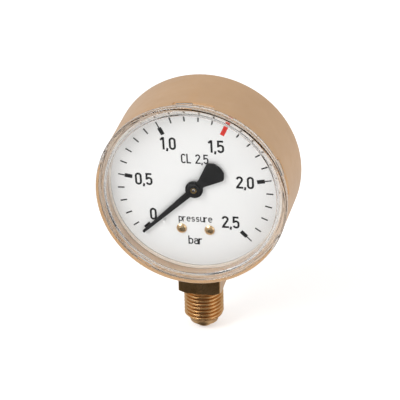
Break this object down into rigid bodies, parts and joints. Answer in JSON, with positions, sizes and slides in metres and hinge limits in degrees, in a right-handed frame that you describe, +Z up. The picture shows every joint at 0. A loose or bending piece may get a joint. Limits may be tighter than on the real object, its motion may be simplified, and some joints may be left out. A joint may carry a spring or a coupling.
{
  "type": "pressure gauge",
  "caption": "Round Bourdon-tube pressure gauge with a painted steel case, clear snap-in window, white dial, black pointer and a brass bottom thread.",
  "frame": {"origin": "on the stem axis, on the shoulder where the connection thread meets the square spanner block", "axes": "+Z up along the stem towards the dial's centre, the dial faces -Y, +X to the reader's right"},
  "size_m": [0.0624, 0.0281, 0.0862],
  "materials": {
    "case_paint": "satin gold-tan lacquer on drawn steel",
    "clear_plastic": "polished crystal-clear plastic",
    "dial_white": "matt white lacquer with black print",
    "seal_cream": "matt cream plastic",
    "dial_pin": "white",
    "pointer_black": "matt moulded black",
    "turned_brass": "turned and milled",
    "brass_screws": "bright turned",
    "brass_sheet": "stamped and tumbled",
    "spring_bronze": "drawn bronze",
    "bright_steel": "turned",
    "steel_screws": "zinc plated"
  },
  "bodies": {
    "housing": {"socket": "turned_brass", "restrictor_screw": "turned_brass", "case": "case_paint", "case_screws": "steel_screws", "window": "clear_plastic", "window_seal": "seal_cream", "dial": "dial_white", "dial_screws": "brass_screws", "dial_spacers": "brass_sheet", "stop_pin": "dial_pin", "movement_back_plate": "brass_sheet", "movement_front_plate": "brass_sheet", "movement_pillars": "brass_sheet", "pillar_screws": "steel_screws", "movement_screws": "steel_screws", "hairspring": "spring_bronze", "hairspring_stud": "brass_sheet"},
    "tube": {"bourdon_tube": "spring_bronze", "tube_end_piece": "brass_sheet", "link_pin_tube": "steel_screws"},
    "sector": {"sector_gear": "brass_sheet", "sector_arbor": "bright_steel", "link_pin_sector": "steel_screws"},
    "link": {"link": "brass_sheet"},
    "pointer": {"pinion_arbor": "bright_steel", "hairspring_collet": "brass_sheet", "pointer": "pointer_black", "pointer_bush": "brass_sheet"}
  },
  "joints": [
    {"name": "sector_turn", "type": "hinge", "parent": "housing", "child": "sector", "pos_m": [0.0066, -0.0033, 0.02857], "axis": [0, 1, 0], "range_deg": [-27, 0]},
    {"name": "pointer_turn", "type": "hinge", "parent": "housing", "child": "pointer", "pos_m": [0, -0.01, 0.04], "axis": [0, 1, 0], "range_deg": [0, 270]},
    {"name": "tube_flex", "type": "hinge", "parent": "housing", "child": "tube", "pos_m": [0, 0.003, 0.04], "axis": [0, 1, 0], "range_deg": [-8.4, 0], "stiffness_Nm_per_rad": 0.5, "springref_deg": 1.15},
    {"name": "link_swing", "type": "hinge", "parent": "sector", "child": "link", "pos_m": [0.0109, -0.0041, 0.02643], "axis": [0, 1, 0], "range_deg": [0, 25.5]}
  ],
  "couplings": [
    {"joint": "pointer_turn", "follows": "sector_turn", "ratio": -10},
    {"joint": "tube_flex", "follows": "sector_turn", "ratio": 0.30745},
    {"joint": "link_swing", "follows": "sector_turn", "ratio": -0.94185}
  ]
}
